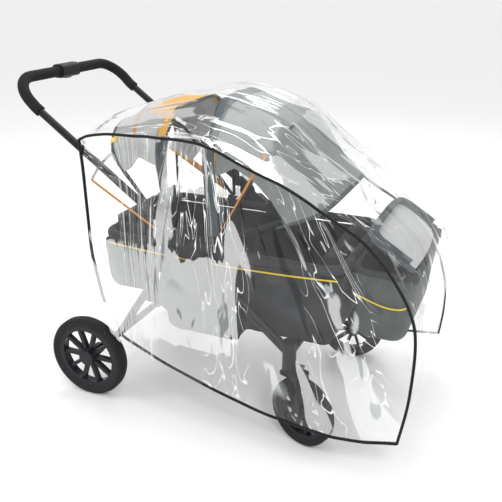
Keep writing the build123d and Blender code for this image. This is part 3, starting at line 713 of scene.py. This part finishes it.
slate_cloth = cloth("slate bow sleeve cloth", (0.035, 0.05, 0.058), 900.0, 0.18, 0.5)
main_pair, rear_pair = ("chassis", "hood_visor"), ("chassis", "hood_back")
main_set = (main_rows, hood_pivot, main_pair, main_ends)
rear_set = (rear_rows, rear_pivot, rear_pair, rear_ends)
tapes = [("rear_bow_sleeve", main_set, (-0.001, 0.075), (0.0, 1.0), slate_cloth, 0.0034, 110)]
for side, low, high in (("right", 0.02, 0.25), ("left", 0.75, 0.98)):
    tapes += [("rear_bow_edge_" + side, main_set, (0.075, 0.088), (low, high), orange_tape, 0.0028, 60),
              ("middle_bow_strap_" + side, main_set, (0.488, 0.512), (low - 0.02, high + 0.02),
               orange_tape, 0.0034, 60),
              ("rear_post_sleeve_" + side, rear_set, (0.86, 1.0), (low - 0.02, high), slate_cloth,
               0.003, 60)]
tapes += [("visor_hem", main_set, (0.975, 1.001), (0.17, 0.83), slate_cloth, 0.0028, 110),
          ("rear_strap", rear_set, (0.44, 0.5), (0.27, 0.73), orange_tape, 0.003, 110),
          ("rear_hood_hem", rear_set, (0.0, 0.05), (0.17, 0.83), slate_cloth, 0.003, 110),
          ("rear_hood_tag", rear_set, (0.0, 0.12), (0.285, 0.305), yellow_cord, 0.0045, 6)]
for tape in tapes:
    hood_tape(*tape)
print("hood tapes", len(tapes))

# %% [markdown]
# The fixed bow and the post wear a wide slate sleeve down each leg, sewn to the hood's edge. It is a
# band that follows the cloth's own row, set 4 mm outside it.

# %% Wide sleeves on the legs of the bow and the post
def leg_sleeve(name, row, low, high, width, pair, ends):
    """A band of constant width along one leg of a bow, on the outside of the cloth."""
    def place(s, t):
        point = along(row, low + (high - low) * t)
        return point + Vector(((s - 0.35) * width, (0.0042 if point.y > 0 else -0.0042), 0.001))
    return hood_sheet(name, 6, 60, place, (width, 0.32), slate_cloth, pair, ends)


for side, low, high in (("right", 0.0, 0.27), ("left", 1.0, 0.73)):
    leg_sleeve("bow_leg_sleeve_" + side, main_rows[0], low, high, 0.038, main_pair, main_ends)
    leg_sleeve("post_leg_sleeve_" + side, rear_rows[-1], low, high, 0.028, rear_pair, rear_ends)
print("leg sleeves", 4)

# %% [markdown]
# Orange straps run from the rear hood's pivots back past its bow, with a thin light flap beside the
# far one. They are flat sheets laid out by angle and reach from the pivot, so they meet the bow.

# %% Side straps of the rear hood
def side_strap(side, name):
    """The orange strap and thin cloth flap behind the rear bow on one side."""
    bow_turn, strap_turn = radians(BOW_ANGLES["back"]), radians(150)
    y = side * (HOOD_HALF - 0.0043)

    def strap_at(turn, reach):
        return Vector((rear_pivot.x + reach * cos(turn), y, rear_pivot.z + reach * sin(turn)))

    width = 0.024 if side > 0 else 0.008

    def flap(u, v):
        turn = bow_turn + (strap_turn - bow_turn) * u
        reach = 0.21 + (0.32 - 0.21) * v
        ripple = 0.004 * sin(v * 15 + u * 4) * sin(pi * u)
        return strap_at(turn, reach) + Vector((0, side * -abs(ripple), 0))

    def band(u, v):
        reach = 0.04 + 0.28 * u
        return strap_at(strap_turn + (v - 0.5) * width / reach, reach) + Vector((0, side * 0.0016, 0))

    def edge(u, v):
        return strap_at(strap_turn + (bow_turn - strap_turn) * u, 0.314 + 0.008 * v)

    sheet_of("rear_edge_tape_" + name, 30, 2, edge, (0.13, 0.008), light_cloth, "hood_back")
    if side > 0:
        sheet_of("rear_flap_" + name, 30, 30, flap, (0.10, 0.11), light_cloth, "hood_back")
    sheet_of("rear_side_strap_" + name, 40, 6, band, (0.28, width), orange_tape, "hood_back")


for side, name in SIDES:
    side_strap(side, name)

# %% [markdown]
# ## Front basket and its hood
# The basket is one sagging bag on its rim. Its small hood is folded half back: cloth runs from the
# bow to the front rim, full in the middle and pleated along the rim.

# %% Basket bag
BASKET_FLOOR = 0.345
BASKET_HALF = basket_high.y
basket_run = [(basket_low.x, basket_high.z + 0.004), (basket_low.x + 0.010, BASKET_FLOOR),
              (basket_high.x - 0.026, BASKET_FLOOR), (basket_high.x, basket_high.z + 0.004)]
basket_line = rounded(basket_run, 0.05, 140)


def bag_place(u, v):
    """One wrap of cloth: each cross-section is a U with round lower corners."""
    spot = along(basket_line, 0.02 + 0.96 * u)
    top_x = basket_low.x + (basket_high.x - basket_low.x) * u
    depth = basket_high.z - spot.y
    half = BASKET_HALF - 0.003
    run = rounded([(-half, 0.0), (-half * 0.96, -max(depth, 0.001)), (half * 0.96, -max(depth, 0.001)),
                   (half, 0.0)], min(0.05, depth * 0.45 + 0.002), 60)
    p = along(run, v)
    share = min(1.0, -p.y / max(depth, 0.001))
    x = top_x + (spot.x - top_x) * share
    crease = 0.004 * wrinkle((x * 2, p.x * 2, p.y * 3), 5.0, 7.0) * share
    return Vector((x + crease * 0.5, p.x + crease * (1 if p.x < 0 else -1),
                   basket_high.z + p.y + abs(crease)))


green_cloth = cloth("dark grey-green canvas", (0.045, 0.06, 0.055), 800.0, 0.2, 0.6)
basket_bag = sheet_of("basket_bag", 120, 90, bag_place, (0.55, 0.75), green_cloth, "chassis", thick=0.002)
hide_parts("basket_fabric")
for side, name in SIDES:
    line = [(900, 506), (930, 496), (960, 486), (990, 478), (1020, 475), (1048, 479), (1066, 490)]
    points = [Vector((x * MM, side * (BASKET_HALF + 0.0015), z * MM)) for x, z in line]
    edging("basket_piping_" + name, points, 0.0024, yellow_cord, "chassis")


# The padded sleeve round the basket's rim: a closed path through four quarter turns.
SLEEVE_REAR, SLEEVE_FRONT, SLEEVE_HALF, SLEEVE_CORNER, SLEEVE_Z = 0.8975, 1.079, 0.192, 0.04, 0.578
sleeve_line = []
for x, y, start in ((SLEEVE_FRONT - SLEEVE_CORNER, SLEEVE_HALF - SLEEVE_CORNER, 0),
                    (SLEEVE_REAR + SLEEVE_CORNER, SLEEVE_HALF - SLEEVE_CORNER, 90),
                    (SLEEVE_REAR + SLEEVE_CORNER, SLEEVE_CORNER - SLEEVE_HALF, 180),
                    (SLEEVE_FRONT - SLEEVE_CORNER, SLEEVE_CORNER - SLEEVE_HALF, 270)):
    for step in range(5):
        angle = radians(start + step * 22.5)
        sleeve_line.append(Vector((x + SLEEVE_CORNER * cos(angle), y + SLEEVE_CORNER * sin(angle),
                                   SLEEVE_Z)))
edging("basket_rim_sleeve", sleeve_line, 0.0095, pad_cloth, "chassis", closed=True, sides=5)
print("basket", round(BASKET_HALF * 2, 3), "wide")

# %% [markdown]
# The small hood stands half folded on its bow. A sleeve covers the bow, and a second fold of cloth
# lies in front of it, so its edge shows as a double dark band.

# %% Hood of the basket
BASKET_BOW_TURN, BASKET_BOW_HALF = radians(148), 0.190
BASKET_BOW_LEG, BASKET_BOW_CROWN = 0.172, 0.178


def basket_bow_at(v):
    """A point on the basket bow's line, from the right foot over the crown to the left foot."""
    half = [(0.012, BASKET_BOW_HALF), (BASKET_BOW_LEG, BASKET_BOW_HALF), (BASKET_BOW_CROWN, 0.10)]
    run = rounded([(reach, -y) for reach, y in half] + half[::-1], 0.06, 120)
    p = along(run, v)
    return Vector((basket_pivot.x + p.x * cos(BASKET_BOW_TURN), p.y,
                   basket_pivot.z + p.x * sin(BASKET_BOW_TURN)))


def basket_hood_place(u, v):
    """From the bow down to the front rim, full in its middle."""
    top = basket_bow_at(0.06 + 0.88 * v)
    foot = Vector((1.076 - 0.012 * (2 * v - 1) ** 2, (2 * v - 1) * 0.176, 0.593))
    t = u ** 0.9
    point = top.lerp(foot, t)
    full = sin(pi * t) * (1 - abs(2 * v - 1) ** 3)
    pleat = sin(v * 2 * pi * 15 + 0.8 * sin(v * 23)) * t ** 1.5 * sin(pi * min(1.0, t + 0.02)) ** 0.4
    return point + Vector((0.5, 0, 0.86)) * (0.014 * full + 0.005 * pleat + 0.002)


basket_cloth = sheet_of("basket_hood_cloth", 60, 160, basket_hood_place, (0.22, 0.5), light_cloth,
                        "basket_hood", thick=0.0012)
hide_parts("basket_hood_fabric")
bow_line = [basket_bow_at(t / 24) for t in range(25)]
edging("basket_bow_sleeve", [p + Vector((0.002, 0, 0.002)) for p in bow_line], 0.0095, slate_cloth,
       "basket_hood", sides=5)
edging("basket_bow_fold", [p + Vector((0.016, -0.002 * (1 if p.y > 0 else -1), 0.014)) for p in
                           bow_line[1:-1]], 0.0075, slate_cloth, "basket_hood", sides=5)

# %% [markdown]
# ## Rain cover
# A clear film in three cut pieces: a roof that runs over both hoods and down the front, and a flank
# on each side. Black tape binds the seams, the hem and the rear edge. The film is pulled tight
# between what holds it up, so its folds run along the pull, not at random.

# %% Cover profiles
crown = [(18, 950), (75, 979), (265, 1034), (447, 1056), (640, 1004), (770, 909), (870, 844),
         (985, 769), (1092, 660), (1128, 520), (1122, 329), (1100, 130)]
seams = {-1: [(22, 912), (85, 934), (265, 946), (466, 945), (621, 889), (730, 848), (843, 788),
              (955, 722), (1047, 623), (1112, 490), (1118, 290), (1098, 130)],
         1: [(22, 892), (85, 915), (265, 922), (430, 905), (600, 820), (700, 765), (815, 695),
             (918, 632), (1040, 515), (1098, 380), (1108, 250), (1098, 130)]}
tail = [(26, 850), (28, 690), (30, 530), (62, 360), (112, 240), (300, 178), (500, 134), (672, 107),
        (890, 100), (1000, 112), (1096, 130)]
plan = [(-20, 296.5), (150, 297.5), (352, 316), (893, 368), (1000, 368), (1140, 352)]
SEAM_REACH = 0.330
RUN_POINTS = 260


def even_run(points):
    """A profile in metres as an evenly numbered run of 3-D points, eased round its corners."""
    spots = [Vector((x * MM, 0, z * MM)) for x, z in points]
    return [curve_at(spots, number / RUN_POINTS) for number in range(RUN_POINTS + 1)]


crown_run = even_run(crown)
seam_runs = {side: even_run(line) for side, line in seams.items()}
tail_run = rounded([(x * MM, z * MM) for x, z in tail], 0.04, RUN_POINTS)


def cover_half(x):
    """Half the cover's width at a distance along it."""
    return table_at([(a * MM, b * MM) for a, b in plan], x)


def fold(point, seed, stretch, size):
    """Creases along the pull of the film: noise drawn out along one direction."""
    drawn = Vector((point.x / stretch.x, point.y / stretch.y, point.z / stretch.z))
    crease = noise.noise(drawn * 6.0 + Vector((seed, seed, seed)))
    sharp = 1 - abs(crease) * 2.2
    fine = noise.noise(drawn * 17.0 + Vector((seed, -seed, seed)))
    return size * (max(0.0, sharp) ** 3 - 0.3 + 0.35 * fine)


def seam_point(t, side):
    """The seam's place on one side, at share t from the rear to the front hem."""
    low = along(seam_runs[side], t)
    half = min(cover_half(low.x), SEAM_REACH)
    return Vector((low.x, side * (half + (cover_half(low.x) - half) * ease(0.8, 1.0, t)), low.z))


def ease(low, high, value):
    """Smoothly from 0 to 1 as value goes from low to high."""
    t = min(1.0, max(0.0, (value - low) / (high - low)))
    return t * t * (3 - 2 * t)


def roof_place(u, v):
    """The roof of the cover: level across its middle, falling to the seam on each side."""
    side = -1 if v < 0.5 else 1
    edge = seam_point(u, side)
    half = abs(edge.y)
    y = (2 * v - 1) * half
    top = along(crown_run, u)
    t = max(0.0, (abs(y) - 0.15) / (half - 0.15))
    spot = top.lerp(Vector((edge.x, 0, edge.z)), t * (0.82 + 0.18 * t))
    inside = min(1.0, (1 - abs(2 * v - 1)) * 8)
    sag = fold(Vector((spot.x, y, spot.z)), 4.0, Vector((1.8, 0.7, 1.8)), 0.006)
    return Vector((spot.x, y, spot.z - max(0.0, 0.5 * sag * inside + 0.002)))


def flank_place(side):
    """A flank: from the seam down to the hem and back to the rear edge."""
    def place(u, v):
        top = seam_point(u, side)
        low = along(tail_run, u)
        x = top.x + (low.x - top.x) * (1 - v)
        z = top.z + (low.y - top.z) * (1 - v)
        flare = 1 - v * v
        y = abs(top.y) + (max(cover_half(x), abs(top.y)) - abs(top.y)) * flare
        hang = min(1.0, v * 8) * min(1.0, (1 - v) * 8)
        ripple = fold(Vector((x, 0, z)), 9.0 + side, Vector((0.9, 1.0, 2.6)), 0.010) * hang
        return Vector((x, side * (y - max(0.0, ripple)), z))
    return place


# %% [markdown]
# Glass would be the first choice for clear vinyl, but thin film shows mostly as reflection: white
# streaks where it throws back the sky, and almost nothing elsewhere. So the film is a bright mirror
# whose alpha is a mask of sharp-edged streaks along the pull: a painted reflection, placed by noise
# and by place rather than by the light on each fold. "Pull" is a UV map with across and along the
# pull, and a point attribute holds the painted share of the sky that the film throws back at a place.

# %% Film material
film = bpy.data.materials.new("clear vinyl film")
film.use_nodes = True
tree = film.node_tree
film_shader = tree.nodes["Principled BSDF"]
pull_map = tree.nodes.new("ShaderNodeUVMap")
pull_map.uv_map = "Pull"
painted_glare = tree.nodes.new("ShaderNodeAttribute")
painted_glare.attribute_name = "PaintedGlare"


def pull_noise(scale, detail, distortion):
    """Noise along the pull of the film."""
    node = tree.nodes.new("ShaderNodeTexNoise")
    node.noise_dimensions = "2D"
    node.inputs["Scale"].default_value = scale
    node.inputs["Detail"].default_value = detail
    node.inputs["Distortion"].default_value = distortion
    tree.links.new(pull_map.outputs["UV"], node.inputs["Vector"])
    return node.outputs["Fac"]


def ramp(value, low, high, start=0.0, end=1.0):
    """A clamped straight ramp."""
    node = tree.nodes.new("ShaderNodeMapRange")
    for label, number in (("From Min", low), ("From Max", high), ("To Min", start), ("To Max", end)):
        node.inputs[label].default_value = number
    tree.links.new(value, node.inputs["Value"])
    return node.outputs["Result"]


# Painted reflection: where noise plus the painted share passes 0.6, the film becomes a half-clear mirror
# patch.
broad = pull_noise(9.0, 2.0, 0.5)
painted_glare_and_noise = math_node(tree, "ADD", broad, math_node(tree, "MULTIPLY", painted_glare.outputs["Fac"], 0.34))
patch = ramp(painted_glare_and_noise, 0.60, 0.625, 0.0, 0.46)
glint = pull_noise(26.0, 1.0, 0.8)
# Painted glints: thin sharp streaks of mirror along the pull, held back where the painted share is low.
line = ramp(math_node(tree, "ABSOLUTE", math_node(tree, "SUBTRACT", glint, 0.5)), 0.022, 0.006, 0.0, 0.85)
line = math_node(tree, "MULTIPLY", line, ramp(pull_noise(5.0, 0.0, 0.0), 0.46, 0.56))
line = math_node(tree, "MULTIPLY", line, ramp(painted_glare.outputs["Fac"], -0.35, -0.1))
facing = tree.nodes.new("ShaderNodeLayerWeight")
facing.inputs["Blend"].default_value = 0.5
edge_gloss = math_node(tree, "MULTIPLY", math_node(tree, "POWER", facing.outputs["Facing"], 3.0), 0.5)
alpha = math_node(tree, "MAXIMUM", patch, line)
alpha = math_node(tree, "ADD", math_node(tree, "MAXIMUM", alpha, 0.045), edge_gloss)
alpha.node.use_clamp = True
tree.links.new(alpha, film_shader.inputs["Alpha"])
# The mirror's colour sets how bright the painted reflection is: near white, with grey patches from noise.
dark = ramp(pull_noise(17.0, 2.0, 0.6), 0.64, 0.67)
tree.links.new(mix_colour(tree, dark, (0.97, 0.98, 0.98, 1), (0.45, 0.48, 0.5, 1)),
               film_shader.inputs["Base Color"])
crinkle = tree.nodes.new("ShaderNodeBump")
crinkle.inputs["Strength"].default_value = 0.4
crinkle.inputs["Distance"].default_value = 0.004
tree.links.new(glint, crinkle.inputs["Height"])
tree.links.new(crinkle.outputs["Normal"], film_shader.inputs["Normal"])
film_shader.inputs["Metallic"].default_value = 1.0
film_shader.inputs["Roughness"].default_value = 0.14


def flank_pull(p):
    """Across and along the pull on a flank: it fans out from over the hood and from the handle."""
    fans = []
    for x, z in ((0.44, 1.35), (-0.22, 1.02)):
        fans.append(Vector((atan2(p.x - x, z - p.z) * 1.0, hypot(p.x - x, p.z - z) * 0.22)))
    return fans[1].lerp(fans[0] + Vector((3.0, 0)), ease(0.14, 0.3, p.x))


def flank_painted_glare(p):
    """Painted reflection share on a flank: strong over the rear of the tub and the front legs, weak over the
    middle of the tub.
    """
    tub = ease(0.03, 0.1, p.x) * (1 - ease(0.5, 0.6, p.x))
    tub *= (1 - ease(0.56, 0.62, p.z)) * ease(0.25, 0.3, p.z)
    leg = 0.3 * ease(0.6, 0.66, p.x) * (1 - ease(0.8, 0.86, p.x)) * (1 - ease(0.28, 0.34, p.z))
    bag = ease(0.86, 0.9, p.x) * ease(0.30, 0.36, p.z) * 0.15
    return max(tub, leg, bag) - 0.15 * ease(0.56, 0.62, p.x) * ease(0.36, 0.4, p.z)


def roof_pull(p):
    """Across and along the pull on the roof."""
    return Vector((p.y * 1.3 + 7.0, (p.x - p.z) * 0.2))


def roof_painted_glare(p):
    """Painted reflection share on the roof: weak over the grey roof, strong over the drop in front of it and
    over the gold panel.
    """
    drop = ease(0.64, 0.68, p.x) * (1 - ease(0.80, 0.88, p.x))
    back = (1 - ease(0.20, 0.28, p.x)) * ease(0.10, 0.16, abs(p.y))
    roof = ease(0.38, 0.44, p.x) * (1 - ease(0.60, 0.64, p.x)) * (1 - ease(0.2, 0.25, abs(p.y)))
    front = ease(0.90, 0.96, p.x) * (1 - ease(1.08, 1.11, p.x))
    return 0.5 * drop + 0.3 * back - 0.75 * roof - 0.25 * front


def film_coordinates(piece, pull, painted_glare_of):
    """Stores the film's pull coordinates and its painted reflection share on a sheet."""
    mesh = piece.data
    layer = mesh.uv_layers.new(name="Pull")
    places = [pull(vert.co) for vert in mesh.vertices]
    for loop in mesh.loops:
        layer.uv[loop.index].vector = places[loop.vertex_index]
    share = mesh.attributes.new("PaintedGlare", "FLOAT", "POINT")
    share.data.foreach_set("value", [painted_glare_of(vert.co) for vert in mesh.vertices])


# %% [markdown]
# The roof and the two flanks are sheets in one thickness of film. Round tape binds the seams, the
# hem and the rear edge.

# %% Cover pieces
cover_roof = sheet_of("cover_roof", 220, 90, roof_place, (1.95, 0.68), film, "chassis", thick=0)
cover_flanks = [sheet_of("cover_flank_" + name, 220, 70, flank_place(side), (1.45, 0.75), film,
                         "chassis", thick=0, turn=side > 0)
                for side, name in SIDES]
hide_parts("rain_cover")
film_coordinates(cover_roof, roof_pull, roof_painted_glare)
for piece in cover_flanks:
    film_coordinates(piece, flank_pull, flank_painted_glare)
bindings = []
for side, name in SIDES:
    seam_line = [seam_point(t / 60, side) + Vector((0, side * 0.0015, 0)) for t in range(61)]
    seam_line = [p + Vector((0, 0, 0.0025 * wrinkle(p, 16.0, 3.0))) for p in seam_line]
    hem_line = [Vector((p.x, side * (cover_half(p.x) + 0.0008), p.y)) for p in tail_run[::5]]
    hem_line[0] = seam_line[0].copy()
    hem_line[-1] = seam_line[-1].copy()
    rear_line = [p for p in hem_line if p.z > 0.345 and p.x < 0.2]
    lower_line = [p for p in hem_line if p.z < 0.245 or p.x > 0.2]
    for part, line, radius in (("seam", seam_line, 0.0045), ("hem", lower_line, 0.0048),
                               ("rear", rear_line, 0.0052)):
        bindings.append(edging(f"cover_{part}_binding_{name}", line, radius, binding_tape, "chassis"))
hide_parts("cover_binding")
for piece in [cover_roof, *cover_flanks, *bindings]:
    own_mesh(piece)

# %% [markdown]
# ## Finishes on the CAD parts
# Tubes, hubs, wheels and axles keep their CAD shape and get a finish each.

# %% [markdown]
# A tyre has short slanted grooves over each shoulder. The pattern is worked out from the angle and
# the distance round the wheel's own axle, so one group serves every wheel.

# %% Tyre tread
tread, tread_in, tread_out = group_of(
    "tyre tread",
    [("Vector", "NodeSocketVector", None), ("Grooves", "NodeSocketFloat", 64.0),
     ("Radius", "NodeSocketFloat", 0.146)],
    [("Colour", "NodeSocketColor"), ("Height", "NodeSocketFloat")])
parts = tread.nodes.new("ShaderNodeSeparateXYZ")
tread.links.new(tread_in.outputs["Vector"], parts.inputs["Vector"])
across = math_node(tread, "ABSOLUTE", parts.outputs["Y"])
turn = math_node(tread, "DIVIDE", math_node(tread, "ARCTAN2", parts.outputs["Z"], parts.outputs["X"]), 2 * pi)
turn = math_node(tread, "MULTIPLY", turn, tread_in.outputs["Grooves"])
turn = math_node(tread, "FRACT", math_node(tread, "ADD", turn, math_node(tread, "MULTIPLY", across, 60.0)))
groove = math_node(tread, "LESS_THAN", turn, 0.24)
reach = math_node(tread, "SQRT", math_node(
    tread, "ADD", math_node(tread, "MULTIPLY", parts.outputs["X"], parts.outputs["X"]),
    math_node(tread, "MULTIPLY", parts.outputs["Z"], parts.outputs["Z"])))
outer = math_node(tread, "GREATER_THAN", math_node(tread, "DIVIDE", reach, tread_in.outputs["Radius"]), 0.9)
middle = math_node(tread, "GREATER_THAN", across, 0.006)
cut = math_node(tread, "MULTIPLY", math_node(tread, "MULTIPLY", groove, outer), middle)
tread.links.new(math_node(tread, "SUBTRACT", 1.0, cut), tread_out.inputs["Height"])
# Painted shade: the grooves are coloured near black, darker than the tread, for the shade inside them.
tread.links.new(mix_colour(tread, cut, (0.016, 0.016, 0.018, 1), (0.002, 0.002, 0.002, 1)),
                tread_out.inputs["Colour"])
print("tread", len(tread.nodes), "nodes")

# %% [markdown]
# Each CAD node gets its finish by a word in its name, and the black powder coat where no word fits.
# The tyres then take the tread, centred on each wheel's axle and turned with it.

# %% Materials on the CAD nodes
by_word = [("hub_cap", wheel_plastic), ("bearings", axle_steel),
           ("_rim", wheel_plastic), ("axle", axle_steel), ("hub_housing", black_plastic),
           ("hub_pins", black_plastic), ("socket", black_plastic), ("fork", black_plastic),
           ("swivel_lock", button_grey), ("pedal", black_plastic), ("grips", grip_foam),
           ("grip_block", black_plastic), ("grip_button", button_grey), ("board", board_plastic),
           ("pivots", black_plastic)]
for name, node in nodes.items():
    finish = next((material for word, material in by_word if word in name), frame_coat)
    if not node.data.materials:
        node.data.materials.append(finish)
    for slot in range(len(node.data.materials)):
        node.data.materials[slot] = finish

for end, radius, grooves in (("rear", 0.146, 72), ("front", 0.114, 56)):
    for side in ("right", "left"):
        axis = joints[f"{end}_wheel_{side}_spin"]
        toe = atan2(-axis["axis"][0], axis["axis"][1])
        nodes[f"{end}_{side}_tyre"].data.materials[0] = finish_of(
            f"tyre {end} {side}", tread, {"Radius": radius, "Grooves": grooves}, 0.9, 0.002,
            place=(axis["pos_m"], toe), Roughness=0.65, Specular_IOR_Level=0.22)
print("finished", len(nodes), "CAD parts")

# %% [markdown]
# ## Floor, light and camera
# A pale floor under an even white sky, with four large soft lamps, shows dark cloth and clear film
# without hard shadows.

# %% Studio
floor_finish = bpy.data.materials.new("pale floor")
floor_finish.use_nodes = True
floor_shader = floor_finish.node_tree.nodes["Principled BSDF"]
floor_shader.inputs["Base Color"].default_value = (0.9, 0.9, 0.9, 1)
floor_shader.inputs["Roughness"].default_value = 0.6
floor_mesh = bmesh.new()
bmesh.ops.create_grid(floor_mesh, x_segments=1, y_segments=1, size=90.0)
floor = finish_mesh("floor", floor_mesh, floor_finish, None, smooth=False)

world = bpy.context.scene.world or bpy.data.worlds.new("studio")
bpy.context.scene.world = world
world.use_nodes = True
sky = world.node_tree.nodes["Background"]
sky.inputs["Color"].default_value = (1.0, 1.0, 1.0, 1)
sky.inputs["Strength"].default_value = 0.95
for name, place, size, power in (("key", (2.6, -2.8, 3.4), 1.2, 60), ("fill", (-2.6, -2.2, 2.6), 1.2, 24),
                                 ("back", (-0.5, 3.2, 3.2), 1.4, 34), ("top", (0.5, 0, 4.0), 1.6, 30)):
    light = bpy.data.lights.new(name, "AREA")
    light.size, light.energy = size, power
    lamp = bpy.data.objects.new(name, light)
    bpy.context.scene.collection.objects.link(lamp)
    lamp.location = place
    lamp.rotation_euler = (Vector((0.5, 0, 0.5)) - Vector(place)).to_track_quat("-Z", "Y").to_euler()

view = bpy.data.cameras.new("camera")
view.lens, view.sensor_width = 48.9, 36.0
camera = bpy.data.objects.new("camera", view)
bpy.context.scene.collection.objects.link(camera)
camera.location = (1.359, -2.013, 1.396)
camera.rotation_euler = (radians(90 - 22.2), 0.0, radians(23.6))
bpy.context.scene.camera = camera
bpy.context.scene.view_settings.view_transform = "Standard"
